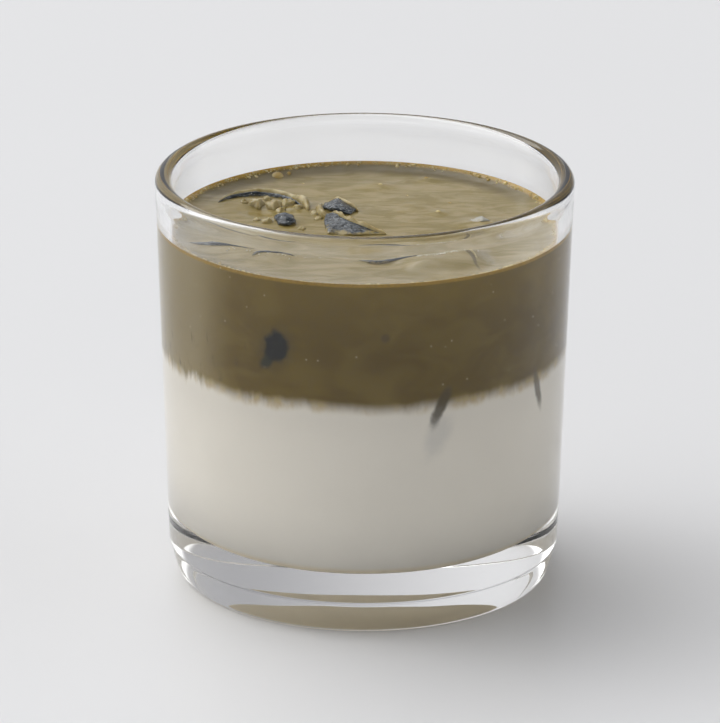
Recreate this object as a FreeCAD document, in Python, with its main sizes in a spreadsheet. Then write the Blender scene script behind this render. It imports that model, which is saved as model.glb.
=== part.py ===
"""Rocks glass holding a layered iced milk tea, as a FreeCAD document (millimetres).

Three pieces, each written to parts/<label>.step:
  glass  tapered tumbler with a thick base, a creased heel, a fire-polished rim and a shallow punt
  milk   the white layer, from the inner floor up to the uneven boundary between the two layers
  tea    the brown layer above it, up to the level, with its meniscus and the low mounds over sunk ice

The glass stands on z = 0, centred on the Z axis, and -Y is the front.
"""
import FreeCAD, Part
import math
import os

import Sketcher

Vector = FreeCAD.Vector

SHEET = "Sizes"

SIZES = {
    "rim_diameter": 84.0,
    "wall_foot_diameter": 78.6,     # the wall's outside, carried down to the table
    "glass_height": 83.9,
    "wall": 2.9,
    "base_thickness": 9.8,
    "floor_corner_radius": 16.0,
    "rim_rounding": 1.4,
    "crease_height": 6.7,           # the crease that parts the wall from the heel
    "crease_step": 0.25,            # how far the heel starts inside the wall
    "crease_bevel": 0.7,            # how far above the crease the wall starts to turn in
    "knee_height": 3.0,
    "knee_inset": 0.75,             # how far the heel's knee lies inside the wall carried down
    "knee_rounding": 6.0,
    "foot_diameter": 74.2,          # the heel's corner on the table, before its rounding
    "foot_rounding": 1.0,
    "foot_land": 5.1,               # the foot's width outside the punt, before its rounding
    "punt_depth": 1.3,
    "headspace": 11.1,              # rim down to the drink's level
    "milk_depth": 38.5,             # inner floor up to the mean boundary
    "meniscus_radius": 1.1,
    "meniscus_film": 0.15,
    "swell": 0.5,                   # rise and fall of the boundary about its mean
    "swell_length": 34.0,
    "tongue_depth": 3.0,            # how far tea sinks into the milk in a tongue
    "tongue_width": 3.5,
    "mound_rise": 1.3,              # how far drink stands over ice that floats just under the level
    "relief_step": 2.0,             # spacing of the points that the boundary passes through
}

# Tongues of tea that sink into the milk at the wall: bearing from the front towards +X, in degrees.
TONGUE_BEARINGS = (-62.0, -10.0, 21.0, 57.0, 140.0, 215.0)

# Mounds: the centre's bearing and its gap from the wall, then the length, the width and the turn.
MOUNDS = (
    (34.0, 10.0, 15.0, 11.0, 12.0),
    (-115.0, 16.0, 18.0, 11.0, -10.0),
    (-102.0, 34.0, 11.0, 13.0, 30.0),
)


def make_sheet(doc):
    """Write every driving size to the spreadsheet, one aliased cell each."""
    sheet = doc.addObject("Spreadsheet::Sheet", SHEET)
    for row, (alias, value) in enumerate(SIZES.items(), start=1):
        sheet.set(f"A{row}", alias)
        sheet.set(f"B{row}", str(value))
        sheet.setAlias(f"B{row}", alias)
    doc.recompute()
    return sheet


def cell(alias):
    """The expression that reads one size from the spreadsheet."""
    return f"{SHEET}.{alias}"


LEVEL = f"({cell('glass_height')} - {cell('headspace')})"


def outer_radius(height):
    """The straight wall's outside radius at a height, as an expression."""
    foot = cell("wall_foot_diameter")
    return f"({foot} + ({cell('rim_diameter')} - {foot}) * ({height}) / {cell('glass_height')}) / 2"


def inner_radius(height):
    """The cavity wall's radius at a height, as an expression: it runs parallel to the outside."""
    return f"{outer_radius(height)} - {cell('wall')}"


def cavity_radius(sheet, height):
    """The cavity wall's radius at a height, as a number."""
    foot = sheet.get("wall_foot_diameter")
    across = foot + (sheet.get("rim_diameter") - foot) * height / sheet.get("glass_height")
    return across / 2 - sheet.get("wall")


def origin_plane(body, role):
    return next(item for item in body.Origin.OriginFeatures if item.Role == role)


def upright_outline(body, name, corners):
    """A closed outline in the XZ plane. A corner is a pair of expressions, None being on that axis."""
    sketch = body.newObject("Sketcher::SketchObject", name)
    sketch.AttachmentSupport = [(origin_plane(body, "XZ_Plane"), "")]
    sketch.MapMode = "FlatFace"
    count = len(corners)
    size = SIZES["wall"]
    start = [Vector(size * index, size * (index % 2), 0) for index in range(count)]
    for index in range(count):
        sketch.addGeometry(Part.LineSegment(start[index], start[(index + 1) % count]), False)
    for index in range(count):
        sketch.addConstraint(Sketcher.Constraint("Coincident", index, 2, (index + 1) % count, 1))
    for index, (across, up) in enumerate(corners):
        pin_corner(sketch, index, "DistanceX", across)
        pin_corner(sketch, index, "DistanceY", up)
    return sketch


def pin_corner(sketch, index, kind, expression):
    """Place the first end of line `index` along one axis, by an expression or on the other axis."""
    if expression is None:
        other_axis = -2 if kind == "DistanceX" else -1
        sketch.addConstraint(Sketcher.Constraint("PointOnObject", index, 1, other_axis))
        return
    number = sketch.addConstraint(Sketcher.Constraint(kind, -1, 1, index, 1, SIZES["wall"]))
    sketch.setExpression(f"Constraints[{number}]", expression)


def turned(body, kind, name, sketch):
    """Revolve an outline about the Z axis, as a Revolution or a Groove."""
    feature = body.newObject(f"PartDesign::{kind}", name)
    feature.Profile = sketch
    feature.ReferenceAxis = (sketch, ["V_Axis"])
    feature.Angle = 360
    sketch.Visibility = False
    body.Document.recompute()
    return feature


def rings(shape, height):
    """Names of the circular edges that lie level at a height, the smallest first."""
    found = []
    for number, edge in enumerate(shape.Edges, start=1):
        circle = None if edge.Degenerated else edge.Curve
        if isinstance(circle, Part.Circle) and abs(circle.Center.z - height) < 1e-4:
            found.append((circle.Radius, f"Edge{number}"))
    return [name for radius, name in sorted(found)]


def rounded(body, name, base, edges, radius):
    """Fillet some edges of a feature; `radius` is an expression."""
    feature = body.newObject("PartDesign::Fillet", name)
    feature.Base = (base, edges)
    feature.setExpression("Radius", radius)
    body.Document.recompute()
    return feature


def make_glass(doc, sheet):
    body = doc.addObject("PartDesign::Body", "Glass")
    body.Label = "glass"

    top = cell("glass_height")
    floor = cell("base_thickness")
    crease = cell("crease_height")
    bevel = f"{crease} + {cell('crease_bevel')}"
    knee = cell("knee_height")

    outside = upright_outline(body, "Outside", [
        (None, None),
        (f"{cell('foot_diameter')} / 2", None),
        (f"{outer_radius(knee)} - {cell('knee_inset')}", knee),
        (f"{outer_radius(crease)} - {cell('crease_step')}", crease),
        (outer_radius(bevel), bevel),
        (f"{cell('rim_diameter')} / 2", top),
        (None, top),
    ])
    blank = turned(body, "Revolution", "Blank", outside)

    inside = upright_outline(body, "Inside", [
        (None, floor),
        (inner_radius(floor), floor),
        (inner_radius(top), top),
        (None, top),
    ])
    cavity = turned(body, "Groove", "Cavity", inside)

    rim = rings(cavity.Shape, sheet.get("glass_height"))
    lip = rounded(body, "Lip", cavity, rim, cell("rim_rounding"))
    corner = rings(lip.Shape, sheet.get("base_thickness"))
    floor_corner = rounded(body, "FloorCorner", lip, corner, cell("floor_corner_radius"))

    punt = body.newObject("PartDesign::SubtractiveSphere", "Punt")
    punt.AttachmentSupport = [(origin_plane(body, "XY_Plane"), "")]
    punt.MapMode = "FlatFace"
    half_punt = f"({cell('foot_diameter')} / 2 - {cell('foot_land')})"
    depth = cell("punt_depth")
    radius = f"({half_punt}^2 + {depth}^2) / (2 * {depth})"
    punt.setExpression("Radius", radius)
    punt.setExpression("AttachmentOffset.Base.z", f"{depth} - {radius}")
    doc.recompute()

    knee_ring = rings(punt.Shape, sheet.get("knee_height"))
    heel = rounded(body, "Knee", punt, knee_ring, cell("knee_rounding"))
    foot_ring = rings(heel.Shape, 0.0)[-1]
    rounded(body, "Foot", heel, [foot_ring], cell("foot_rounding"))
    return body


def make_drink_column(doc, sheet):
    """All of the drink in one body: it fits the cavity, and its top edge climbs the wall."""
    body = doc.addObject("PartDesign::Body", "DrinkColumn")
    floor = cell("base_thickness")
    climb = f"({LEVEL} + {cell('meniscus_radius')})"
    film = f"{inner_radius(climb)} - {cell('meniscus_film')}"
    outline = upright_outline(body, "DrinkOutline", [
        (None, floor),
        (inner_radius(floor), floor),
        (inner_radius(climb), climb),
        (film, climb),
        (film, LEVEL),
        (None, LEVEL),
    ])
    column = turned(body, "Revolution", "Column", outline)
    corner = rings(column.Shape, sheet.get("base_thickness"))
    column = rounded(body, "ColumnCorner", column, corner, cell("floor_corner_radius"))
    wet_ring = rings(column.Shape, sheet.get("glass_height") - sheet.get("headspace"))
    rounded(body, "Meniscus", column, wet_ring, f"{cell('meniscus_radius')} * 0.98")
    return body


def relief_solid(height_at, half_length, half_width, step, depth):
    """A solid under a smooth surface z = height_at(x, y) over a rectangle, `depth` thick all over."""
    columns = max(4, math.ceil(2 * half_length / step))
    rows = max(4, math.ceil(2 * half_width / step))
    grid = []
    for column in range(columns + 1):
        x = half_length * (2 * column / columns - 1)
        line = []
        for row in range(rows + 1):
            y = half_width * (2 * row / rows - 1)
            line.append(Vector(x, y, height_at(x, y)))
        grid.append(line)
    surface = Part.BSplineSurface()
    surface.interpolate(grid)
    return surface.toShape().extrude(Vector(0, 0, -depth))


def at_bearing(bearing, distance):
    """X and Y of a place at a bearing from the front, towards +X, in degrees."""
    turn = math.radians(bearing)
    return distance * math.sin(turn), -distance * math.cos(turn)


def make_boundary(doc, sheet):
    """What lies under the uneven boundary: a gentle swell, with tongues of tea sunk in at the wall."""
    floor = sheet.get("base_thickness")
    boundary = floor + sheet.get("milk_depth")
    wave = 2 * math.pi / sheet.get("swell_length")
    reach = max(sheet.get("rim_diameter"), sheet.get("wall_foot_diameter")) / 2
    width = sheet.get("tongue_width")
    wall_radius = cavity_radius(sheet, boundary)
    tongues = [at_bearing(bearing, wall_radius) for bearing in TONGUE_BEARINGS]

    def height_at(x, y):
        height = boundary + sheet.get("swell") * math.sin(wave * x) * math.cos(wave * y + 1)
        for middle_x, middle_y in tongues:
            spread = ((x - middle_x) ** 2 + (y - middle_y) ** 2) / width ** 2
            height -= sheet.get("tongue_depth") * math.exp(-spread)
        return height

    feature = doc.addObject("Part::Feature", "BelowBoundary")
    feature.Shape = relief_solid(height_at, reach, reach, sheet.get("relief_step"), boundary)
    return feature


def make_mound(doc, number, place):
    """One low mound of drink over a piece of ice: the cap of an ellipsoid that is sunk in the tea."""
    bearing, gap, length, width, turn = place
    rise = cell("mound_rise")
    distance = f"({inner_radius(LEVEL)} - {gap})"
    level_share = math.sqrt(3) / 2
    mound = doc.addObject("Part::Ellipsoid", f"Mound{number}")
    mound.setExpression("Radius1", f"2 * {rise}")
    mound.Radius2 = length / 2 / level_share
    mound.Radius3 = width / 2 / level_share
    mound.Angle1 = -90
    mound.Placement = FreeCAD.Placement(Vector(), FreeCAD.Rotation(Vector(0, 0, 1), turn))
    mound.setExpression("Placement.Base.x", f"{distance} * sin({bearing})")
    mound.setExpression("Placement.Base.y", f"-{distance} * cos({bearing})")
    mound.setExpression("Placement.Base.z", f"{LEVEL} - {rise}")
    return mound


def make_milk(doc, column, below):
    milk = doc.addObject("Part::Common", "Milk")
    milk.Base = column
    milk.Tool = below
    milk.Label = "milk"
    return milk


def make_tea(doc, column, below, mounds):
    upper = doc.addObject("Part::Cut", "UpperDrink")
    upper.Base = column
    upper.Tool = below
    tea = doc.addObject("Part::MultiFuse", "Tea")
    tea.Shapes = [upper, *mounds]
    tea.Refine = True
    tea.Label = "tea"
    return tea


def check_document(doc, pieces):
    """Stop before anything is written if a feature failed or a piece has no sound solid."""
    doc.recompute()
    for item in doc.Objects:
        if "Invalid" in item.State or "Error" in item.State:
            raise RuntimeError(f"{item.Name} failed: {item.State}")
    for piece in pieces:
        if piece.Shape.isNull() or not piece.Shape.isValid() or len(piece.Shape.Solids) != 1:
            raise RuntimeError(f"{piece.Label} isn't one valid solid")


def main():
    doc = FreeCAD.newDocument("LayeredMilkTea")
    sheet = make_sheet(doc)
    glass = make_glass(doc, sheet)
    column = make_drink_column(doc, sheet)
    below = make_boundary(doc, sheet)
    mounds = [make_mound(doc, number, place) for number, place in enumerate(MOUNDS, start=1)]
    pieces = [glass, make_milk(doc, column, below), make_tea(doc, column, below, mounds)]
    check_document(doc, pieces)
    os.makedirs("parts", exist_ok=True)
    for piece in pieces:
        piece.Shape.exportStep(f"parts/{piece.Label}.step")


main()
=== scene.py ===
"""Looks of the glass of layered iced milk tea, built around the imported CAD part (metres)."""

import math
import random

import bmesh
import bpy
from mathutils import Matrix, Vector, noise


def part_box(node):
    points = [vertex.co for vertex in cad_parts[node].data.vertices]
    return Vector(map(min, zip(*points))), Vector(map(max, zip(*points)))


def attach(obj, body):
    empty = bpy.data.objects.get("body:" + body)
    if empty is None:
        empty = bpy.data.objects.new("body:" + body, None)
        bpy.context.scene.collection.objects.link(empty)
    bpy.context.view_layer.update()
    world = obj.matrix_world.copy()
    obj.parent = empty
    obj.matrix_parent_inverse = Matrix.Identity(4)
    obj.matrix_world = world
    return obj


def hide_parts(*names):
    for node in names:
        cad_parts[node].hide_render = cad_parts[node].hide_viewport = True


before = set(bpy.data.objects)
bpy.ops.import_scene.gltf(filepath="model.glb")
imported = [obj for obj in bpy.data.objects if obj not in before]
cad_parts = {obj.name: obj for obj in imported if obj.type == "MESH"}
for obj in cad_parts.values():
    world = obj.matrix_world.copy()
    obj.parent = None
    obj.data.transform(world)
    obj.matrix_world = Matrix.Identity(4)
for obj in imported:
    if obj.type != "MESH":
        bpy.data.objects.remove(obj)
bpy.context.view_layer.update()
random.seed(7)

MM = 0.001

# The glass and the drink. The sizes are those of the part's source, apart from the rim's bead, the crease's
# bevel, the foot's rounding and the punt, which follow what the photo shows through the glass.
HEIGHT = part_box("glass")[1].z
RIM_RADIUS = 42.0 * MM
WALL_FOOT_RADIUS = 39.3 * MM    # the straight wall, carried down to the table
WALL = 2.9 * MM
BASE = 9.8 * MM
FLOOR_CORNER = 16.0 * MM
BEAD_RADIUS = 1.65 * MM         # the fire-polished rim is a little thicker than the wall
BEAD_TAIL = 3.5 * MM            # and thins down to it over this height
CREASE = 6.7 * MM
CREASE_STEP = 0.25 * MM
CREASE_BEVEL = 0.5 * MM
CREASE_ROUNDING = 0.06 * MM
BEVEL_ROUNDING = 0.5 * MM
KNEE = 3.0 * MM
KNEE_INSET = 0.75 * MM
FOOT_RADIUS = 37.1 * MM
FOOT_ROUNDING = 1.6 * MM
PUNT_RADIUS = 34.2 * MM         # flat in the middle and steep at its edge, which mirrors the milk in the heel
PUNT_DEPTH = 1.7 * MM
PUNT_FLATNESS = 4.5
HEADSPACE = 11.1 * MM
MILK_DEPTH = 38.5 * MM
LEVEL = HEIGHT - HEADSPACE
BOUNDARY = BASE + MILK_DEPTH
MENISCUS = 1.25 * MM            # how far the tea climbs the wall, and over what distance it does
MENISCUS_REACH = 2.3 * MM
OVERLAP = 0.25 * MM             # how far the drink reaches into the wall, so that no air gap shows

# How finely the shapes are cut.
SEGMENTS = 256                  # points in a ring of the glass and of the milk
TEA_SEGMENTS = 384
PUNT_STEPS = 24
TAIL_STEPS = 12
WALL_STEPS = 12
MILK_RINGS = 36
TEA_UNDERSIDE_RINGS = 24
TEA_SURFACE_RINGS = 130
TEA_CROWDING = 1.25             # packs the surface's rings towards the wall
SHARP = math.radians(40)        # edges sharper than this are not smoothed over
STEEP = 0.2                     # a face of the tea belongs to its open surface when its normal points up
SURFACE_DEPTH = 2.0 * MM        # at least this much and it lies less than this below the level


def outer_radius(z):
    return WALL_FOOT_RADIUS + (RIM_RADIUS - WALL_FOOT_RADIUS) * z / HEIGHT


def inner_radius(z):
    return outer_radius(z) - WALL


CORNER_MIDDLE = (inner_radius(BASE + FLOOR_CORNER) - FLOOR_CORNER, BASE + FLOOR_CORNER)


def arc(middle, radius, start, end, steps):
    """Points of an arc in the profile plane, from one angle to another, in degrees."""
    points = []
    for step in range(steps + 1):
        angle = math.radians(start + (end - start) * step / steps)
        points.append((middle[0] + radius * math.cos(angle), middle[1] + radius * math.sin(angle)))
    return points


def rounded_corner(before, corner, after, radius, steps):
    """The arc that rounds a corner of a profile."""
    here = Vector(corner)
    back, on = (Vector(before) - here).normalized(), (Vector(after) - here).normalized()
    half = back.angle(on) / 2
    middle = here + (back + on).normalized() * (radius / math.sin(half))
    first = here + back * (radius / math.tan(half)) - middle
    last = here + on * (radius / math.tan(half)) - middle
    points = []
    for step in range(steps + 1):
        spoke = first.lerp(last, step / steps).normalized() * radius
        points.append(tuple(middle + spoke))
    return points


def bend(start, pull, end, steps):
    """Points between the ends of a smooth curve that leaves and arrives along lines through a third point."""
    points = []
    for step in range(1, steps):
        t = step / steps
        early, middle, late = (1 - t) ** 2, 2 * t * (1 - t), t * t
        points.append(tuple(early * a + middle * b + late * c for a, b, c in zip(start, pull, end)))
    return points


def between_ends(start, end, steps):
    """The evenly spaced values between two ends, which are left out."""
    return [start + (end - start) * step / steps for step in range(1, steps)]


def new_object(name, vertices, faces, smooth=True):
    mesh = bpy.data.meshes.new(name)
    mesh.from_pydata(vertices, [], faces)
    mesh.update()
    mesh.polygons.foreach_set("use_smooth", [smooth] * len(mesh.polygons))
    item = bpy.data.objects.new(name, mesh)
    bpy.context.scene.collection.objects.link(item)
    return item


def ring_points(radius, height_at, segments=SEGMENTS):
    """One ring of points; the height is a number or a function of x and y."""
    points = []
    for index in range(segments):
        bearing = 2 * math.pi * index / segments
        x, y = radius * math.sin(bearing), -radius * math.cos(bearing)
        points.append((x, y, height_at(x, y) if callable(height_at) else height_at))
    return points


def skin(name, rings, low_pole, high_pole):
    """A closed surface over a stack of rings, from a point at the bottom to a point at the top."""
    count = len(rings[0])
    vertices = [point for ring in rings for point in ring] + [low_pole, high_pole]
    low, high, last = len(vertices) - 2, len(vertices) - 1, (len(rings) - 1) * count
    faces = []
    for index in range(count):
        after = (index + 1) % count
        for start in range(0, last, count):
            faces.append((start + index, start + after, start + count + after, start + count + index))
        faces.append((low, after, index))
        faces.append((high, last + index, last + after))
    return new_object(name, vertices, faces)


def make_glass():
    """The tumbler: up the outside from the punt, over the rim and down the inside to the floor."""
    profile = []
    for step in range(1, PUNT_STEPS + 1):
        radius = PUNT_RADIUS * step / PUNT_STEPS
        profile.append((radius, PUNT_DEPTH * (1 - (radius / PUNT_RADIUS) ** PUNT_FLATNESS)))
    foot = (FOOT_RADIUS, 0.0)
    knee = (outer_radius(KNEE) - KNEE_INSET, KNEE)
    crease = (outer_radius(CREASE) - CREASE_STEP, CREASE)
    bevel = (outer_radius(CREASE + CREASE_BEVEL), CREASE + CREASE_BEVEL)
    rim_middle = (outer_radius(HEIGHT) - BEAD_RADIUS, HEIGHT - BEAD_RADIUS)
    profile += rounded_corner((0.0, 0.0), foot, knee, FOOT_ROUNDING, 8)
    profile += bend(profile[-1], knee, crease, 14)
    profile += rounded_corner(knee, crease, bevel, CREASE_ROUNDING, 3)
    profile += rounded_corner(crease, bevel, rim_middle, BEVEL_ROUNDING, 4)
    profile += [(outer_radius(z), z) for z in between_ends(bevel[1], rim_middle[1], WALL_STEPS)]
    profile += arc(rim_middle, BEAD_RADIUS, 0, 180, 28)
    for step in range(1, TAIL_STEPS + 1):
        share = step / TAIL_STEPS
        z = rim_middle[1] - BEAD_TAIL * share
        bulge = (2 * BEAD_RADIUS - WALL) * (1 - share * share * (3 - 2 * share))    # a smooth step
        profile.append((inner_radius(z) - bulge, z))
    straight_top = rim_middle[1] - BEAD_TAIL
    profile += [(inner_radius(z), z) for z in between_ends(straight_top, CORNER_MIDDLE[1], WALL_STEPS)]
    profile += arc(CORNER_MIDDLE, FLOOR_CORNER, 0, -90, 32)
    profile += [(CORNER_MIDDLE[0] * share, BASE) for share in (0.75, 0.5, 0.25)]
    rings = [ring_points(radius, z) for radius, z in profile]
    return skin("tumbler", rings, (0, 0, PUNT_DEPTH), (0, 0, BASE))


# ---------------------------------------------------------------- the drink's shapes

# The boundary of milk and tea, as in the part's source: a slow swell, and tongues of tea at some bearings.
SWELL = 0.5 * MM
SWELL_LENGTH = 34.0 * MM
TONGUE_DEPTH = 3.0 * MM
TONGUE_WIDTH = 3.5 * MM
TONGUE_BEARINGS = (-62.0, -10.0, 21.0, 57.0, 140.0, 215.0)


def at_bearing(bearing, distance):
    """The place at a distance from the axis; bearings are in degrees from the front, towards the right."""
    turn = math.radians(bearing)
    return distance * math.sin(turn), -distance * math.cos(turn)


TONGUES = [at_bearing(bearing, inner_radius(BOUNDARY)) for bearing in TONGUE_BEARINGS]


def boundary_height(x, y):
    """The height of the boundary between milk and tea."""
    wave = 2 * math.pi / SWELL_LENGTH
    height = BOUNDARY + SWELL * math.sin(wave * x) * math.cos(wave * y + 1)
    for middle_x, middle_y in TONGUES:
        spread = ((x - middle_x) ** 2 + (y - middle_y) ** 2) / TONGUE_WIDTH ** 2
        height -= TONGUE_DEPTH * math.exp(-spread)
    return height


class Mound:
    """A smooth rise or hollow of the tea's surface, in millimetres. More power gives a flatter top."""

    SPREAD = 6      # beyond this the rise is nothing

    def __init__(self, x, y, half_length, half_width, turn, rise, power=1.0):
        self.x, self.y = x, y
        self.half_length, self.half_width = half_length, half_width
        self.cos, self.sin = math.cos(math.radians(turn)), math.sin(math.radians(turn))
        self.rise, self.power = rise, power

    def height(self, x, y):
        across, along = x - self.x, y - self.y
        u = (across * self.cos + along * self.sin) / self.half_length
        v = (-across * self.sin + along * self.cos) / self.half_width
        reach = u * u + v * v
        if reach > self.SPREAD:
            return 0.0
        return self.rise * math.exp(-(reach ** self.power))


# Each mound: x, y, half-length, half-width, turn in degrees, rise and, where it is not 1, power.
MOUNDS = (
    Mound(15.5, -21.0, 8.0, 6.5, 10, 1.5, 2.2),     # front right: a corner of ice under a film of tea
    Mound(19.5, -15.5, 4.0, 3.6, 0, 1.0, 1.2),
    Mound(11.0, -25.5, 5.0, 2.5, 20, 0.4),
    Mound(-20.5, 12.0, 9.5, 5.5, -12, 1.0, 1.4),    # left: the ice with a hollow in it
    Mound(-20.0, 9.5, 5.5, 3.2, -10, -1.3, 1.3),
    Mound(-4.5, 4.5, 5.5, 8.0, 25, 0.6),            # middle: the tea drawn up around the shard
    Mound(-17.0, 1.5, 5.0, 3.5, 0, 0.5),            # the small round piece beside it
    Mound(-27.5, -14.5, 7.0, 2.6, -2, 0.8),         # front left: ice edges just breaking the surface
    Mound(-18.0, -18.0, 5.0, 2.8, 24, 0.7),
    Mound(5.0, -20.5, 7.0, 2.8, 20, 0.6),
    Mound(24.0, 1.0, 4.5, 3.0, -10, 0.7),
    Mound(2.5, 26.0, 3.0, 2.6, 0, 0.5),
    Mound(13.0, 30.0, 2.0, 1.6, 0, 0.35),
    Mound(14.8, 8.5, 1.6, 1.6, 0, 0.3),
    Mound(25.0, -18.0, 2.4, 6.5, 12, -0.4),
    Mound(10.0, 14.0, 14.0, 7.0, 20, 0.12),
    Mound(-8.0, 26.0, 12.0, 5.0, -10, 0.1),
)


# Faint relief of the whole surface: rise in millimetres, and how close the waves lie across and along.
SLOW_RIPPLES = (0.04, 0.14, 0.26)
FINE_RIPPLES = (0.010, 0.5, 0.8)
LUMPS = (0.12, 0.33, 0.33)
LUMP_FLOOR = 0.32               # only the noise above this stands up as a lump
RELIEF_FADE = 2.5 * MM          # the relief dies out this close to the wall


def waves(kind, x, y, layer):
    return noise.noise(Vector((x * kind[1], y * kind[2], layer)))


def surface_height(x, y):
    """The tea's upper surface: level, mounds over ice, faint ripples and the climb at the wall."""
    u, v = x / MM, y / MM
    relief = sum(mound.height(u, v) for mound in MOUNDS)
    relief += SLOW_RIPPLES[0] * waves(SLOW_RIPPLES, u, v, 3.1)
    relief += FINE_RIPPLES[0] * waves(FINE_RIPPLES, u, v, 9.4)
    relief += LUMPS[0] * max(0.0, waves(LUMPS, u, v, 5.7) - LUMP_FLOOR)
    wall_gap = max(0.0, inner_radius(LEVEL) - math.hypot(x, y))
    climb = MENISCUS * math.exp(-wall_gap / MENISCUS_REACH)
    fade = min(1.0, wall_gap / RELIEF_FADE)
    return LEVEL + relief * MM * fade + climb


def polar_sheet(radius, height_at, rings, segments, crowd=1.0):
    """Rings of points from near the axis out to a radius; crowd above 1 packs them towards the wall."""
    stack = []
    for index in range(1, rings + 1):
        share = 1 - (1 - index / rings) ** crowd
        stack.append(ring_points(radius * share, height_at, segments))
    return stack


def wet_rings(low, high, segments):
    """Rings of the drink on the straight wall, between two heights."""
    return [ring_points(inner_radius(z) + OVERLAP, z, segments) for z in between_ends(low, high, 4)]


def make_milk():
    profile = [(CORNER_MIDDLE[0] * share, BASE - OVERLAP) for share in (0.3, 0.6)]
    profile += arc(CORNER_MIDDLE, FLOOR_CORNER + OVERLAP, -90, 0, 28)
    rings = [ring_points(radius, z) for radius, z in profile]
    rings += wet_rings(CORNER_MIDDLE[1], BOUNDARY - TONGUE_DEPTH, SEGMENTS)
    rings += reversed(polar_sheet(inner_radius(BOUNDARY) + OVERLAP, boundary_height, MILK_RINGS, SEGMENTS))
    milk = skin("milk_layer", rings, (0, 0, BASE - OVERLAP), (0, 0, boundary_height(0, 0)))
    milk.data.set_sharp_from_angle(angle=SHARP)
    return milk


def make_tea():
    """The tea. Its first material is for the open surface, its second for the rest."""
    wet_radius = inner_radius(BOUNDARY) + OVERLAP
    rings = polar_sheet(wet_radius, boundary_height, TEA_UNDERSIDE_RINGS, TEA_SEGMENTS)
    rings += wet_rings(BOUNDARY, LEVEL, TEA_SEGMENTS)
    top_radius = inner_radius(LEVEL) + OVERLAP
    rings += reversed(polar_sheet(top_radius, surface_height, TEA_SURFACE_RINGS, TEA_SEGMENTS, TEA_CROWDING))
    tea = skin("tea_layer", rings, (0, 0, boundary_height(0, 0)), (0, 0, surface_height(0, 0)))
    for face in tea.data.polygons:
        face.material_index = int(face.normal.z < STEEP or face.center.z < LEVEL - SURFACE_DEPTH)
    tea.data.set_sharp_from_angle(angle=SHARP)
    return tea


# ---------------------------------------------------------------- ice, bubbles and droplets

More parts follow.
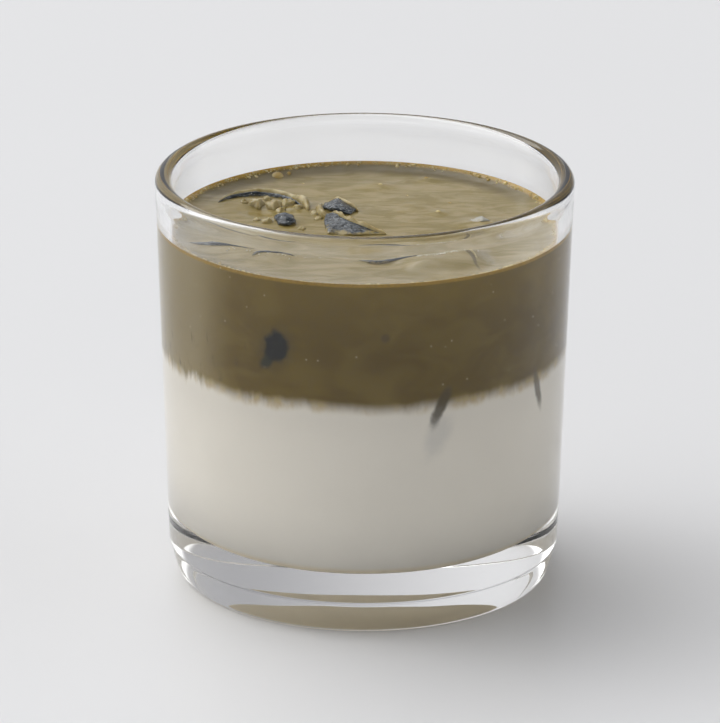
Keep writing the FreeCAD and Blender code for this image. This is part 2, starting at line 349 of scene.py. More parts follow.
class Heap:
    """Many small shapes gathered into one piece. Places are in millimetres, heights off the surface."""

    RIDGE_SIDES = 10
    RIDGE_STEPS = 36

    def __init__(self):
        self.vertices, self.faces = [], []

    def add(self, vertices, faces):
        first = len(self.vertices)
        self.vertices += vertices
        self.faces += [tuple(first + index for index in face) for face in faces]

    def ball(self, middle, radii, rows, columns, dent):
        """An ellipsoid, its skin dented by smooth noise."""
        vertices = [Vector((0, 0, -1))]
        for row in range(1, rows):
            tilt = math.pi * row / rows
            for column in range(columns):
                turn = 2 * math.pi * column / columns
                vertices.append(Vector((math.sin(tilt) * math.cos(turn), math.sin(tilt) * math.sin(turn),
                                        -math.cos(tilt))))
        vertices.append(Vector((0, 0, 1)))
        top = len(vertices) - 1
        faces = []
        for column in range(columns):
            after = (column + 1) % columns
            faces.append((0, 1 + after, 1 + column))
            for row in range(rows - 2):
                low = 1 + row * columns
                faces.append((low + column, low + after, low + columns + after, low + columns + column))
            faces.append((top, 1 + (rows - 2) * columns + column, 1 + (rows - 2) * columns + after))
        placed = []
        for vertex in vertices:
            swell = 1 + dent * noise.noise(vertex * 1.7 + Vector(middle) / MM)
            placed.append(tuple(middle[axis] + vertex[axis] * radii[axis] * swell for axis in range(3)))
        self.add(placed, faces)

    def dome(self, x, y, radius, height, sunk=0.25, dent=0.0, rows=8, columns=14):
        """A droplet or bubble that lies on the tea's surface."""
        z = surface_height(x * MM, y * MM) - radius * sunk * MM
        self.ball((x * MM, y * MM, z), (radius * MM, radius * MM, height * MM), rows, columns, dent)

    def ridge(self, path, width, rise):
        """A tapered rounded bar that follows a curve along the surface and thins out at both ends."""
        sides, steps = self.RIDGE_SIDES, self.RIDGE_STEPS
        smooth = spline(path, steps)
        vertices = []
        for index, (x, y) in enumerate(smooth):
            before, after = smooth[max(0, index - 1)], smooth[min(steps, index + 1)]
            heading = math.atan2(after[1] - before[1], after[0] - before[0])
            taper = math.sin(math.pi * (index + 0.35) / (steps + 0.7)) ** 0.75
            base = surface_height(x * MM, y * MM)
            wobble = 1 + 0.3 * noise.noise(Vector((x * 0.9, y * 0.9, rise)))
            for side in range(sides):
                turn = 2 * math.pi * side / sides
                across = math.cos(turn) * width * taper * wobble
                up = math.sin(turn) * rise * taper * wobble + rise * taper * 0.25
                vertices.append(((x - math.sin(heading) * across) * MM, (y + math.cos(heading) * across) * MM,
                                 base + up * MM))
        faces = [tuple(range(sides)), tuple(reversed(range(steps * sides, (steps + 1) * sides)))]
        for index in range(steps):
            for side in range(sides):
                after = (side + 1) % sides
                low, high = index * sides, (index + 1) * sides
                faces.append((low + side, high + side, high + after, low + after))
        self.add(vertices, faces)

    def shard(self, corners, rounding, wear):
        """A worn lump of ice: the hull of some corners, its edges rounded and its faces uneven."""
        build = bmesh.new()
        for x, y, rise in corners:
            build.verts.new((x, y, rise))
        hull = bmesh.ops.convex_hull(build, input=build.verts)
        inside = hull["geom_interior"] + hull["geom_unused"]
        loose = [item for item in inside if isinstance(item, bmesh.types.BMVert)]
        bmesh.ops.delete(build, geom=loose, context="VERTS")
        bmesh.ops.dissolve_limit(build, angle_limit=0.1, verts=build.verts[:], edges=build.edges[:])
        bmesh.ops.bevel(build, geom=build.edges[:], offset=rounding, segments=2, profile=0.55, affect="EDGES")
        bmesh.ops.triangulate(build, faces=build.faces[:])
        long_edges = [edge for edge in build.edges if edge.calc_length() > 0.8]
        bmesh.ops.subdivide_edges(build, edges=long_edges, cuts=3, use_grid_fill=True)
        bmesh.ops.triangulate(build, faces=build.faces[:])
        bmesh.ops.recalc_face_normals(build, faces=build.faces[:])
        build.verts.ensure_lookup_table()
        for vertex in build.verts:
            where = vertex.co * 0.55
            push = Vector((noise.noise(where), noise.noise(where + Vector((9, 0, 0))),
                           noise.noise(where + Vector((0, 9, 0)))))
            vertex.co += push * wear
        build.verts.index_update()
        vertices = [(v.co.x * MM, v.co.y * MM, LEVEL + v.co.z * MM) for v in build.verts]
        faces = [tuple(v.index for v in face.verts) for face in build.faces]
        build.free()
        self.add(vertices, faces)

    def piece(self, name):
        return new_object(name, self.vertices, self.faces)


def spline(path, steps):
    """A smooth curve through some points, as steps + 1 places."""
    places = []
    spans = len(path) - 1
    for step in range(steps + 1):
        t = min(step / steps * spans, spans - 1e-6)
        start = int(t)
        t -= start
        a, b = path[max(0, start - 1)], path[start]
        c, d = path[start + 1], path[min(spans, start + 2)]
        place = []
        for axis in range(2):
            pull = 2 * b[axis] + (c[axis] - a[axis]) * t
            pull += (2 * a[axis] - 5 * b[axis] + 4 * c[axis] - d[axis]) * t * t
            pull += (3 * b[axis] - a[axis] - 3 * c[axis] + d[axis]) * t ** 3
            place.append(pull / 2)
        places.append(tuple(place))
    return places


# Lumps of ice: corners (x, y, height over the level), how far the edges are rounded, and how uneven they are.
SHARDS = (
    # in the middle: the facet at the back, and the pointed one before it
    (((-8.2, 13.4, 0.6), (-5.4, 12.0, 2.1), (-1.4, 8.2, 0.9), (-3.0, 5.2, 0.8), (-6.2, 5.4, 2.0),
      (-8.4, 9.2, 0.7), (-7.8, 11.0, -1.6), (-2.8, 7.0, -1.6)), 0.25, 0.22),
    (((-8.0, 3.4, 1.3), (-6.2, 2.8, 2.1), (-4.6, -1.0, 1.9), (-0.2, -3.8, 1.1), (4.8, -5.9, 0.2),
      (-1.6, -6.6, 0.4), (-7.6, -5.8, 0.2), (-8.2, -0.4, 0.6), (-6.0, -3.4, -1.6), (2.0, -5.2, -1.4)),
     0.25, 0.25),
    # the small round lump at the left
    (((-18.4, 3.0, 0.9), (-16.0, 4.2, 1.7), (-14.0, 3.0, 1.1), (-13.4, 0.0, 0.8), (-15.2, -1.8, 0.9),
      (-17.6, -0.8, 0.8), (-16.2, 1.2, 2.2), (-16.8, 1.0, -1.6), (-14.6, 0.6, -1.4)), 0.45, 0.3),
    # the glint at the right
    (((20.9, 3.6, 0.5), (23.5, 3.1, 1.3), (25.7, 1.9, 0.5), (23.9, 0.8, 1.0), (21.5, 1.0, 0.4),
      (23.5, 2.0, -1.4)), 0.3, 0.15),
)

# Edges of ice: a path (x, y), half the width, and the rise.
ICE_EDGES = (
    # the crescent
    (((-29.6, 13.2), (-26.4, 16.2), (-21.0, 18.2), (-16.0, 15.4), (-12.2, 9.8)), 0.45, 0.75),
    # the front left
    (((-34.1, -11.2), (-31.0, -13.0), (-27.6, -13.8), (-24.0, -12.8), (-21.2, -11.0)), 0.7, 0.5),
    (((-30.6, -12.0), (-27.6, -12.2), (-25.0, -12.4)), 0.30, 0.4),
    (((-21.8, -19.1), (-19.6, -16.6), (-17.0, -15.0), (-14.2, -14.9)), 0.85, 0.6),
    (((-16.4, -15.6), (-14.6, -16.6), (-13.6, -17.8)), 0.3, 0.4),
    # the front middle
    (((-1.3, -19.5), (0.4, -22.2), (3.2, -22.9), (7.0, -20.2), (11.0, -16.4)), 0.8, 0.55),
)

# Folds of tea over the ice, in the same terms.
FOLDS = (
    # the middle
    (((-8.6, 12.4), (-9.2, 8.6), (-8.6, 5.4), (-7.4, 3.6)), 0.7, 1.2),
    (((-7.6, 4.2), (-5.8, 3.0), (-3.8, -0.6), (0.2, -3.5), (4.4, -5.7)), 0.38, 1.7),
    (((-7.8, 12.2), (-5.8, 12.5), (-3.2, 10.0), (-1.2, 7.8)), 0.28, 1.5),
    # the crescent
    (((-29.4, 14.2), (-26.0, 18.0), (-20.6, 20.4), (-15.0, 17.4), (-11.2, 10.2)), 0.8, 1.0),
    (((-15.0, 17.0), (-12.4, 13.4), (-11.4, 8.4)), 0.9, 1.3),
    # the front right
    (((15.0, -11.4), (17.6, -10.6), (19.4, -12.6), (20.6, -17.0), (21.8, -22.0)), 0.40, 0.45),
)

# Round things: x, y and radius.
DROPLETS = ((-21.8, 12.6, 1.7), (-18.2, 12.0, 1.6), (-15.4, 12.4, 1.5), (-19.8, 14.4, 1.0),
            (-24.4, 13.2, 0.9), (-13.2, 10.2, 1.2), (-16.8, 10.0, 1.1), (-19.4, 1.4, 1.3),
            (-21.6, 2.8, 0.8), (-12.6, -2.2, 0.9), (-9.9, 6.6, 1.1), (-9.2, 3.4, 0.9))
LONE_BUBBLES = ((3.2, 25.6, 0.55), (12.6, 30.4, 0.5), (14.8, 8.6, 0.55), (17.2, 15.0, 0.4),
                (-12.6, 27.0, 0.4), (8.6, 19.6, 0.35))

FRINGE_COUNT = 950
FRINGE_SPREAD = 0.5             # how far from the wall the bubbles of the fringe gather
FRINGE_GAP = 0.05
FRINGE_RADII = (0.10, 0.5)      # from the finest to the largest

# Pinpricks of air: count, x and its spread, y and its spread, the range of radii, and the height.
PINPRICKS = (
    (90, (13.6, 2.8), (-17.6, 1.2), (0.10, 0.30), 0.24),        # front right
    (40, (-17.0, 4.5), (-16.5, 1.6), (0.07, 0.20), 0.16),       # front left
)


def make_ice():
    """The pieces of ice that break the surface, with their worn facets and thin edges."""
    heap = Heap()
    for corners, rounding, wear in SHARDS:
        heap.shard(corners, rounding, wear)
    for path, width, rise in ICE_EDGES:
        heap.ridge(path, width, rise)
    return heap.piece("ice")


def make_film():
    """Tea that clings to the ice: thin folds over its edges, and droplets beside it."""
    heap = Heap()
    for path, width, rise in FOLDS:
        heap.ridge(path, width, rise)
    for x, y, radius in DROPLETS:
        heap.dome(x, y, radius, radius * 0.9, 0.35, 0.45, 12, 20)
    return heap.piece("film_and_droplets")


def make_bubbles():
    """Foam: two large bubbles at the back left, a few lone ones, and a fringe of fine ones at the wall."""
    heap = Heap()
    heap.dome(-17.9, 31.4, 1.35, 1.1, 0.3, 0.0, 12, 20)
    heap.dome(-15.6, 32.6, 0.5, 0.5, 0.1)
    for x, y, radius in LONE_BUBBLES:
        heap.dome(x, y, radius, radius * 0.6, 0.3)
    edge = inner_radius(LEVEL) / MM
    for _ in range(FRINGE_COUNT):
        bearing = random.uniform(-180, 180)
        gap = abs(random.gauss(0.0, FRINGE_SPREAD)) + FRINGE_GAP
        radius = min(FRINGE_RADII[1], FRINGE_RADII[0] + random.expovariate(10.0))
        x, y = at_bearing(bearing, edge - gap - radius * 0.6)
        heap.dome(x, y, radius, radius * 0.8, 0.25, 0.0, 6, 10)
    return heap.piece("bubbles")


def make_frost():
    """Pinpricks of air that shine in the ice below the front of the surface."""
    heap = Heap()
    for count, (x_middle, x_spread), (y_middle, y_spread), radii, height in PINPRICKS:
        for _ in range(count):
            x, y = random.gauss(x_middle, x_spread), random.gauss(y_middle, y_spread)
            heap.dome(x, y, random.uniform(*radii), height, 0.1, 0.0, 4, 8)
    return heap.piece("frost")


# ---------------------------------------------------------------- materials

class Nodes:
    """Short calls for building a material's node tree. A socket or a number can be any input."""

    def __init__(self, name):
        self.material = bpy.data.materials.new(name)
        self.material.use_nodes = True
        self.tree = self.material.node_tree
        self.tree.nodes.clear()
        self.output = self.tree.nodes.new("ShaderNodeOutputMaterial")

    def add(self, kind, inputs=None, **settings):
        node = self.tree.nodes.new("ShaderNode" + kind)
        for key, value in settings.items():
            setattr(node, key, value)
        for key, value in (inputs or {}).items():
            self.feed(node.inputs[key], value)
        return node

    def feed(self, socket, value):
        if isinstance(value, bpy.types.NodeSocket):
            self.tree.links.new(value, socket)
        elif isinstance(value, (tuple, list)) and socket.type == "RGBA":
            socket.default_value = (*value[:3], 1.0)
        else:
            socket.default_value = value

    def maths(self, operation, first, second=0.0, third=0.0):
        return self.add("Math", {0: first, 1: second, 2: third}, operation=operation).outputs[0]

    def between(self, value, low, high, out_low=0.0, out_high=1.0):
        """Smooth step of a value from one end to the other."""
        ends = {"Value": value, "From Min": low, "From Max": high, "To Min": out_low, "To Max": out_high}
        return self.add("MapRange", ends, interpolation_type="SMOOTHSTEP").outputs[0]

    def mix(self, share, first, second):
        node = self.add("Mix", data_type="RGBA")
        self.feed(node.inputs[0], share)
        self.feed(node.inputs[6], first)
        self.feed(node.inputs[7], second)
        return node.outputs[2]

    def noise(self, vector, scale, detail, rough=0.5, distortion=0.0):
        """Smooth noise about 0.5. The scale is in waves to a millimetre."""
        inputs = {"Vector": vector, "Scale": scale, "Detail": detail, "Roughness": rough,
                  "Distortion": distortion}
        return self.add("TexNoise", inputs).outputs["Fac"]

    def dots(self, vector, scale, size):
        """Small round dots, scattered: 1 on a dot."""
        near = self.add("TexVoronoi", {"Vector": vector, "Scale": scale}).outputs["Distance"]
        return self.between(near, size * 0.6, size, 1.0, 0.0)

    def place(self):
        """The point in millimetres, in the object's own coordinates."""
        where = self.add("TexCoord").outputs["Object"]
        return self.add("VectorMath", {0: where, 3: 1 / MM}, operation="SCALE").outputs[0]

    def stretched(self, vector, x, y, z):
        """The place scaled along each axis, for a pattern that is drawn out where the number is small."""
        return self.add("VectorMath", {0: vector, 1: (x, y, z)}, operation="MULTIPLY").outputs[0]

    def parts(self, vector):
        node = self.add("SeparateXYZ", {0: vector})
        return node.outputs[0], node.outputs[1], node.outputs[2]

    def joined(self, x, y, z):
        return self.add("CombineXYZ", {0: x, 1: y, 2: z}).outputs[0]

    def bump(self, height, distance, strength=1.0):
        return self.add("Bump", {"Height": height, "Distance": distance, "Strength": strength}).outputs[0]

    def finish(self, **inputs):
        """A Principled shader with these inputs, led to the material's output."""
        named = {key.replace("_", " "): value for key, value in inputs.items()}
        shader = self.add("BsdfPrincipled", named).outputs[0]
        self.tree.links.new(shader, self.output.inputs["Surface"])
        return self.material


GLASS_CLEAR = (0.992, 0.995, 0.994)
GLASS_CREASE_SHADE = (0.30, 0.30, 0.32)
MILK = (0.945, 0.902, 0.815)
MILK_LOW_PAINTED_LIGHT = (0.985, 0.940, 0.845)
MILK_CLOUD = (0.78, 0.74, 0.66)
MILK_UNDERSIDE_SHADE = (0.985, 0.875, 0.660)
TEA = (0.135, 0.084, 0.004)
TEA_CREAM = (0.195, 0.132, 0.018)
TEA_HIGH = (0.27, 0.19, 0.05)
TEA_LEFT_PAINTED_LIGHT = (0.33, 0.26, 0.12)
TEA_TICK = (0.085, 0.060, 0.012)
TEA_SPECK = (0.62, 0.52, 0.30)
TEA_AMBER = (0.400, 0.245, 0.035)
TEA_FRINGE = (0.55, 0.41, 0.15)
TEA_TOP = (0.212, 0.160, 0.043)
TEA_TOP_CREAM = (0.320, 0.252, 0.118)
TEA_TOP_BACK_SHADE = (0.085, 0.058, 0.010)
TEA_TOP_FACET_SHADE = (0.060, 0.040, 0.010)
TEA_FILM = (0.270, 0.212, 0.085)
TEA_FILM_CREAM = (0.43, 0.36, 0.20)
FOAM = ((0.36, 0.25, 0.07), (0.56, 0.45, 0.22))
ICE_DARK_SHADE = (0.020, 0.024, 0.028)
ICE_GREY = (0.150, 0.168, 0.185)
ICE_FROST = (0.66, 0.66, 0.60)
ICE_GLINT = (0.40, 0.38, 0.32)
PINPRICK = ((0.50, 0.45, 0.32), (0.84, 0.81, 0.72))
MARK_OLIVE = (0.085, 0.062, 0.022)
MARK_GREY = (0.20, 0.19, 0.17)
MARK_DEEP = (0.022, 0.028, 0.020)
MARK_BLACK = (0.012, 0.013, 0.011)
MARK_HAZE = (0.42, 0.44, 0.47)
MARK_GLINT = (0.30, 0.30, 0.28)
TABLE = ((0.705, 0.707, 0.718), (0.694, 0.696, 0.707))

WATER_IOR = 1.33
DRINK_IOR = 1.35
GLASS_IOR = 1.5

# Where the colours of the drink change, in millimetres: heights, or places from left to right.
MILK_PAINTED_LIGHT_HEIGHTS = (34.0, 12.0)
MILK_UNDERSIDE_SHADE_HEIGHTS = (13.0, 10.8)
TEA_HIGH_HEIGHTS = (54.0, 73.0)
TEA_PAINTED_LIGHT_SIDE = (-24.0, -33.0)
TICK_SIDE = (-14.0, -26.0)
TICK_HEIGHTS = (62.0, 55.0)
SPECK_HEIGHTS = (50.0, 52.0)
FOAM_LINE_DROP = (0.85, 0.45)           # below the tea's highest point on the wall
DRIP_SIDE = (-33.0, -12.0)
WAVE_REACH = 2.4                        # how far the soft boundary swings up and down
DRIP_REACH = 7.0
BOUNDARY_FADE = (-2.0, 1.2)             # off the boundary's height, as the next two
FRINGE_BELOW = (-2.6, -0.4)
FRINGE_ABOVE = (-0.4, 1.6)

# Ice that lies against the wall shows as dark marks. Each has a middle (millimetres along the wall from the
# front, and height), half-sizes, a lean in degrees off upright, the softness of its edge, a strength and a
# colour.
MARKS = (
    ((14.6, 41.6), (2.2, 4.2), 22.0, 0.60, 0.25, MARK_HAZE),        # the long one, down into the milk
    ((15.2, 48.0), (1.15, 3.9), 24.0, 0.40, 0.92, MARK_OLIVE),
    ((14.1, 45.2), (0.9, 2.0), 16.0, 0.60, 0.50, MARK_GREY),
    ((40.0, 45.6), (0.95, 4.4), -18.0, 0.45, 0.80, MARK_OLIVE),     # the thin one at the right
    ((4.0, 62.8), (0.8, 1.0), 0.0, 0.45, 0.55, MARK_OLIVE),         # a faint spot high in the middle
    ((-17.2, 59.4), (3.3, 4.2), 16.0, 0.60, 0.60, MARK_OLIVE),      # the oval: its halo, its tail, itself
    ((-19.0, 56.6), (1.1, 2.2), 34.0, 0.50, 0.85, MARK_DEEP),
    ((-17.0, 59.8), (2.5, 3.2), 10.0, 0.26, 1.00, MARK_BLACK),
)

# Painted shade on the dark side of the ice corner at the front right of the surface. Its terms are those of a
# mark.
FACET_SHADE = ((20.4, -19.0), (0.5, 7.0), -12.0, 0.5, 0.75)


def glass_material():
    """Clear glass with faint waves and smears; painted shade darkens the crease, as an edge that throws light
    aside.
    """
    n = Nodes("clear_glass")
    place = n.place()
    smear = n.between(n.noise(place, 0.09, 4.0), 0.45, 0.8, 0.0, 0.012)
    wave = n.bump(n.noise(place, 0.05, 1.0), 0.10 * MM)
    height = n.parts(place)[2]
    off = n.maths("ABSOLUTE", n.maths("SUBTRACT", height, (CREASE + CREASE_BEVEL / 2) / MM))
    # painted shade: a dark ring in the glass's colour at the crease
    crease = n.between(off, 0.12, 0.26, 0.75, 0.0)
    colour = n.mix(crease, GLASS_CLEAR, GLASS_CREASE_SHADE)
    return n.finish(Base_Color=colour, Roughness=smear, IOR=GLASS_IOR, Transmission_Weight=1.0, Normal=wave)


def along_wall(n, x, y):
    """Millimetres along the wall from the front, towards the right."""
    bearing = n.maths("ARCTAN2", x, n.maths("MULTIPLY", y, -1.0))
    return n.maths("MULTIPLY", bearing, inner_radius(BOUNDARY) / MM)


def off_axis(n, x, y):
    return n.maths("SQRT", n.maths("ADD", n.maths("MULTIPLY", x, x), n.maths("MULTIPLY", y, y)))


def spot(n, along, z, middle, half_sizes, lean, edge, wobble=0.0):
    """A soft-edged ellipse on the wall: 1 inside, 0 outside. Lean is in degrees, off upright."""
    cos, sin = math.cos(math.radians(lean)), math.sin(math.radians(lean))
    u = n.maths("SUBTRACT", along, middle[0])
    v = n.maths("SUBTRACT", z, middle[1])
    across = n.maths("SUBTRACT", n.maths("MULTIPLY", u, cos), n.maths("MULTIPLY", v, sin))
    up = n.maths("ADD", n.maths("MULTIPLY", u, sin), n.maths("MULTIPLY", v, cos))
    across = n.maths("DIVIDE", across, half_sizes[0])
    up = n.maths("DIVIDE", up, half_sizes[1])
    reach = n.maths("SQRT", n.maths("ADD", n.maths("MULTIPLY", across, across), n.maths("MULTIPLY", up, up)))
    reach = n.maths("ADD", reach, wobble)
    return n.between(reach, 1.0 - edge, 1.0 + edge, 1.0, 0.0)


def wall_milk(n, place, z):
    """Milk against the glass, faintly clouded by sunk tea: painted light low down, painted warm shade
    underneath.
    """
    # painted light: the milk is a little brighter low down
    colour = n.mix(n.between(z, *MILK_PAINTED_LIGHT_HEIGHTS), MILK, MILK_LOW_PAINTED_LIGHT)
    cloud = n.noise(place, 0.06, 3.0)
    colour = n.mix(n.between(cloud, 0.35, 0.75, 0.0, 0.12), colour, MILK_CLOUD)
    # painted shade: a warm tint on the milk's underside, as it shows mirrored in the heel
    return n.mix(n.between(z, *MILK_UNDERSIDE_SHADE_HEIGHTS), colour, MILK_UNDERSIDE_SHADE)


def wall_tea(n, place, x, z):
    """Tea against the glass: swirls of more and less milk, painted light on the left, with dark ticks there.
    """
    swirl = n.noise(n.stretched(place, 1.0, 1.0, 1.6), 0.10, 4.0, 0.55, 0.6)
    colour = n.mix(n.between(swirl, 0.35, 0.7, 0.0, 0.8), TEA, TEA_CREAM)
    colour = n.mix(n.between(z, *TEA_HIGH_HEIGHTS, 0.0, 0.30), colour, TEA_HIGH)
    # painted light: the tea is paler on the left, where the light falls
    colour = n.mix(n.between(x, *TEA_PAINTED_LIGHT_SIDE, 0.0, 0.85), colour, TEA_LEFT_PAINTED_LIGHT)
    tick = n.noise(n.stretched(place, 1.0, 1.0, 0.3), 0.75, 4.0, 0.7)
    tick = n.maths("MULTIPLY", n.between(tick, 0.56, 0.70), n.between(x, *TICK_SIDE))
    tick = n.maths("MULTIPLY", tick, n.between(z, *TICK_HEIGHTS, 0.0, 0.55))
    colour = n.mix(tick, colour, TEA_TICK)

    # The thin brown line of foam where the tea climbs the wall, and pinpricks of air below it.
    wet_top = (LEVEL + MENISCUS) / MM
    foam_line = n.between(n.noise(place, 1.6, 3.0), 0.3, 0.6, 0.55, 1.0)
    line_edges = (wet_top - FOAM_LINE_DROP[0], wet_top - FOAM_LINE_DROP[1])
    foam_line = n.maths("MULTIPLY", foam_line, n.between(z, *line_edges))
    colour = n.mix(foam_line, colour, TEA_AMBER)
    specks = n.maths("MULTIPLY", n.dots(place, 0.34, 0.085), n.between(z, *SPECK_HEIGHTS))
    return n.mix(n.maths("MULTIPLY", specks, 0.55), colour, TEA_SPECK)


def with_marks(n, colour, place, along, z):
    """A colour with the marks laid over it; the last of them, the oval, has glints in it."""
    wobble = n.maths("MULTIPLY", n.maths("SUBTRACT", n.noise(place, 0.6, 3.0), 0.5), 0.7)
    for middle, half_sizes, lean, edge, strength, mark in MARKS:
        share = spot(n, along, z, middle, half_sizes, lean, edge, wobble)
        colour = n.mix(n.maths("MULTIPLY", share, strength), colour, mark)
    glints = n.maths("MULTIPLY", share, n.dots(place, 1.6, 0.16))
    return n.mix(n.maths("MULTIPLY", glints, 0.6), colour, MARK_GLINT)


def drink_colour(n, place):
    """The colour of the drink anywhere on its outside, shared by the milk and the tea."""
    x, y, z = n.parts(place)
    level_place = n.stretched(place, 1.0, 1.0, 0.0)

    # The soft boundary: broad waves, and ragged upright drips that are strongest on the left.
    broad = n.maths("SUBTRACT", n.noise(level_place, 0.055, 2.0), 0.5)
    drip = n.maths("SUBTRACT", n.noise(n.stretched(place, 1.0, 1.0, 0.22), 0.42, 5.0, 0.68), 0.5)
    patch = n.between(n.noise(level_place, 0.13, 2.0), 0.38, 0.62, 0.15, 1.0)
    ragged = n.maths("MULTIPLY", n.between(x, *DRIP_SIDE, 1.0, 0.30), patch)
    shift = n.maths("MULTIPLY", broad, WAVE_REACH)
    shift = n.maths("MULTIPLY_ADD", n.maths("MULTIPLY", drip, ragged), DRIP_REACH, shift)
    over = n.maths("SUBTRACT", n.maths("ADD", z, shift), BOUNDARY / MM)
    colour = n.mix(n.between(over, *BOUNDARY_FADE), wall_milk(n, place, z), wall_tea(n, place, x, z))

    # A broken warm fringe along it.
    fringe = n.maths("MULTIPLY", n.between(over, *FRINGE_BELOW), n.between(over, *FRINGE_ABOVE, 1.0, 0.0))
    blotch = n.noise(n.stretched(place, 1.0, 1.0, 0.7), 0.28, 3.0)
    warm = n.maths("MULTIPLY", fringe, n.between(blotch, 0.42, 0.66, 0.05, 0.65))
    colour = n.mix(warm, colour, TEA_FRINGE)
    return with_marks(n, colour, place, along_wall(n, x, y), z)


def wall_side_material(name):
    """Drink against the glass. It has no gloss of its own, because no air lies between the two."""
    n = Nodes(name)
    colour = drink_colour(n, n.place())
    return n.finish(Base_Color=colour, Roughness=0.6, IOR=DRINK_IOR, Specular_IOR_Level=0.0)


def tea_surface_material():
    """The tea's open surface: streaks of more and less milk, amber where it thins out on the wall."""
    n = Nodes("milk_tea_surface")
    place = n.place()
    x, y = n.parts(place)[:2]
    flow = n.noise(n.stretched(place, 0.35, 1.0, 0.3), 0.34, 5.0, 0.6, 0.8)
    colour = n.mix(n.between(flow, 0.35, 0.68), TEA_TOP, TEA_TOP_CREAM)
    waver = n.maths("MULTIPLY", n.maths("SUBTRACT", n.noise(place, 0.25, 3.0), 0.5), 1.6)
    # painted shade: the dark side of the ice corner
    facet_shade = spot(n, n.maths("ADD", x, waver), y, *FACET_SHADE[:4])
    colour = n.mix(n.maths("MULTIPLY", facet_shade, FACET_SHADE[4]), colour, TEA_TOP_FACET_SHADE)

    # A band of painted shade before the wall at the back, and the amber edge all round.
    rim_gap = n.maths("SUBTRACT", inner_radius(LEVEL) / MM, off_axis(n, x, y))
    back_shade = n.maths("MULTIPLY", n.between(rim_gap, 6.5, 3.0), n.between(y, 8.0, 24.0, 0.0, 0.75))
    colour = n.mix(back_shade, colour, TEA_TOP_BACK_SHADE)
    colour = n.mix(n.between(rim_gap, 1.3, 0.3, 0.0, 0.9), colour, TEA_AMBER)
    fine = n.bump(n.noise(place, 1.4, 3.0, 0.55), 0.015 * MM, 0.5)
    return n.finish(Base_Color=colour, Roughness=0.16, IOR=DRINK_IOR, Subsurface_Weight=0.3,
                    Subsurface_Radius=(1.2, 0.9, 0.5), Subsurface_Scale=MM, Normal=fine)


def ice_material():
    """Wet ice over dark drink, near black with painted shade, with grey streaks and frost, tea clinging low
    down.
    """
    n = Nodes("ice")
    place = n.place()
    x, _, z = n.parts(place)
    streak = n.noise(n.stretched(place, 0.6, 1.3, 2.4), 0.9, 5.0, 0.65, 1.2)
    # painted shade: near black for the dark reflections and shaded drink that clear ice shows
    colour = n.mix(n.between(streak, 0.44, 0.68), ICE_DARK_SHADE, ICE_GREY)
    frost = n.noise(n.stretched(place, 1.0, 0.5, 1.0), 2.2, 3.0, 0.6)
    colour = n.mix(n.between(frost, 0.63, 0.72, 0.0, 0.8), colour, ICE_FROST)
    colour = n.mix(n.between(x, 15.0, 20.0, 0.0, 0.8), colour, ICE_GLINT)
    ragged = n.maths("MULTIPLY", n.noise(place, 0.8, 2.0), -1.6)
    rise = n.maths("ADD", n.maths("SUBTRACT", z, LEVEL / MM), ragged)
    colour = n.mix(n.between(rise, -0.55, 0.05, 0.95, 0.0), colour, TEA_FILM)
    uneven = n.bump(n.noise(place, 0.8, 4.0), 0.25 * MM, 0.9)
    return n.finish(Base_Color=colour, Roughness=0.08, IOR=WATER_IOR, Normal=uneven)


def film_material():
    """Tea that clings to the ice."""
    n = Nodes("film")
    swirl = n.noise(n.place(), 0.5, 3.0, 0.5, 0.5)
    colour = n.mix(n.between(swirl, 0.35, 0.7), TEA_FILM, TEA_FILM_CREAM)
    return n.finish(Base_Color=colour, Roughness=0.10, IOR=DRINK_IOR, Subsurface_Weight=0.3,
                    Subsurface_Radius=(1.0, 0.7, 0.3), Subsurface_Scale=MM)


def foam_material():
    n = Nodes("foam")
    colour = n.mix(n.between(n.noise(n.place(), 0.4, 2.0), 0.35, 0.65), *FOAM)
    return n.finish(Base_Color=colour, Roughness=0.12, IOR=WATER_IOR, Subsurface_Weight=0.4,
                    Subsurface_Radius=(0.8, 0.5, 0.2), Subsurface_Scale=MM)


def frost_material():
    """The pinpricks of air."""
    n = Nodes("frost")
    colour = n.mix(n.between(n.noise(n.place(), 0.9, 1.0), 0.4, 0.6), *PINPRICK)
    return n.finish(Base_Color=colour, Roughness=0.12, IOR=WATER_IOR)


def table_material():
    n = Nodes("table")
    colour = n.mix(n.between(n.noise(n.place(), 0.004, 2.0), 0.3, 0.7), *TABLE)
    return n.finish(Base_Color=colour, Roughness=0.32, IOR=1.45, Specular_IOR_Level=0.35)


# ---------------------------------------------------------------- lights, table, camera

# The studio: a ring of soft lights low around the table, three higher ones, strongest behind the left, and a
# dull wall low behind. For each light: bearing, elevation, level, and the cosine of how far it reaches.
LIGHTS = (
    (0.0, 12.0, 1.06, 0.78),
    (45.0, 12.0, 0.45, 0.78),
    (90.0, 12.0, 1.35, 0.78),
    (135.0, 12.0, 1.60, 0.78),
    (180.0, 12.0, 0.45, 0.78),
    (-135.0, 12.0, 1.15, 0.78),
    (-90.0, 12.0, 1.20, 0.78),
    (-45.0, 12.0, 1.24, 0.78),
    (-135.0, 47.0, 3.30, 0.72),
    (-90.0, 42.0, 1.05, 0.72),
    (90.0, 42.0, 0.30, 0.72),
)
BACKDROP_LEFT = (0.80, 0.80, 0.815)
BACKDROP_RIGHT = (0.37, 0.37, 0.385)
BACKDROP_TOP = 0.56             # where the wall ends, as the parts of a direction: upwards,
BACKDROP_TOP_SOFTNESS = 0.06
BACKDROP_DEPTH = (0.35, 0.50)   # away from the camera,
BACKDROP_SPAN = (-0.6, 0.5)     # and from left to right, where its colour changes


class WorldNodes(Nodes):
    """The same calls, for a world's node tree."""

    def __init__(self, world):
        world.use_nodes = True
        self.tree = world.node_tree
        self.tree.nodes.clear()


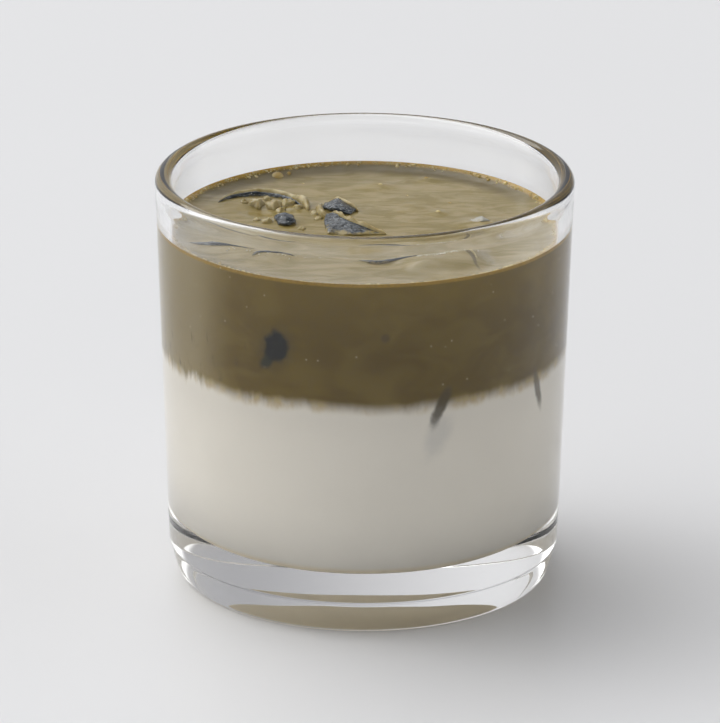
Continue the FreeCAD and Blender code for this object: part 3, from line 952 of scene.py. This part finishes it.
def make_world():
    world = bpy.data.worlds.new("studio")
    bpy.context.scene.world = world
    n = WorldNodes(world)
    direction = n.add("TexCoord").outputs["Generated"]
    sky = 0.0
    for bearing, elevation, level, reach in LIGHTS:
        high, turn = math.radians(elevation), math.radians(bearing)
        towards = (math.sin(turn) * math.cos(high), -math.cos(turn) * math.cos(high), math.sin(high))
        facing = n.add("VectorMath", {0: direction, 1: towards}, operation="DOT_PRODUCT").outputs["Value"]
        sky = n.maths("ADD", n.between(facing, reach, 1.0, 0.0, level), sky)
    x, y, up = n.parts(direction)
    low = n.between(up, BACKDROP_TOP, BACKDROP_TOP - BACKDROP_TOP_SOFTNESS)
    behind = n.maths("MULTIPLY", low, n.between(y, *BACKDROP_DEPTH))
    backdrop = n.mix(n.between(x, *BACKDROP_SPAN), BACKDROP_LEFT, BACKDROP_RIGHT)
    light = n.joined(sky, sky, sky)
    background = n.add("Background", {"Color": n.mix(behind, light, backdrop)})
    output = n.add("OutputWorld")
    n.tree.links.new(background.outputs[0], output.inputs["Surface"])


TABLE_HALF = 6.0                # metres


def make_table():
    half = TABLE_HALF
    corners = [(-half, -half, 0), (half, -half, 0), (half, half, 0), (-half, half, 0)]
    table = new_object("table", corners, [(0, 1, 2, 3)], smooth=False)
    table.data.materials.append(table_material())


CAMERA_DISTANCE = 1200 * MM
CAMERA_HEIGHT = 470.65 * MM
CAMERA_PITCH = 19.574           # degrees, downwards
CAMERA_ROLL = 0.26
FOCAL_LENGTH = 315.3            # millimetres, on a sensor this wide
SENSOR_WIDTH = 36
SHIFT = -0.0055
CLIPPING = (0.02, 30)


def make_camera():
    data = bpy.data.cameras.new("camera")
    data.sensor_fit = "HORIZONTAL"
    data.sensor_width = SENSOR_WIDTH
    data.lens = FOCAL_LENGTH
    data.shift_x = SHIFT
    data.clip_start, data.clip_end = CLIPPING
    camera = bpy.data.objects.new("camera", data)
    bpy.context.scene.collection.objects.link(camera)
    pitch = Matrix.Rotation(math.radians(90 - CAMERA_PITCH), 4, "X")
    roll = Matrix.Rotation(math.radians(CAMERA_ROLL), 4, "Z")
    camera.matrix_world = Matrix.Translation((0, -CAMERA_DISTANCE, CAMERA_HEIGHT)) @ (pitch @ roll)
    bpy.context.scene.camera = camera


def dress(piece, materials, slot, *nodes):
    """Give a piece its materials, hang it on the root body and hide the CAD parts it replaces. The slot is
    not used.
    """
    for material in materials:
        piece.data.materials.append(material)
    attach(piece, "root")
    if nodes:
        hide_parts(*nodes)


make_camera()
make_world()
make_table()
dress(make_glass(), [glass_material()], "clear_glass", "glass")
dress(make_milk(), [wall_side_material("milk")], "milk", "milk")
dress(make_tea(), [tea_surface_material(), wall_side_material("milk_tea")], "milk_tea", "tea")
dress(make_ice(), [ice_material()], "milk_tea")
dress(make_film(), [film_material()], "milk_tea")
dress(make_bubbles(), [foam_material()], "milk_tea")
dress(make_frost(), [frost_material()], "milk_tea")

bpy.context.scene.view_settings.view_transform = "Standard"
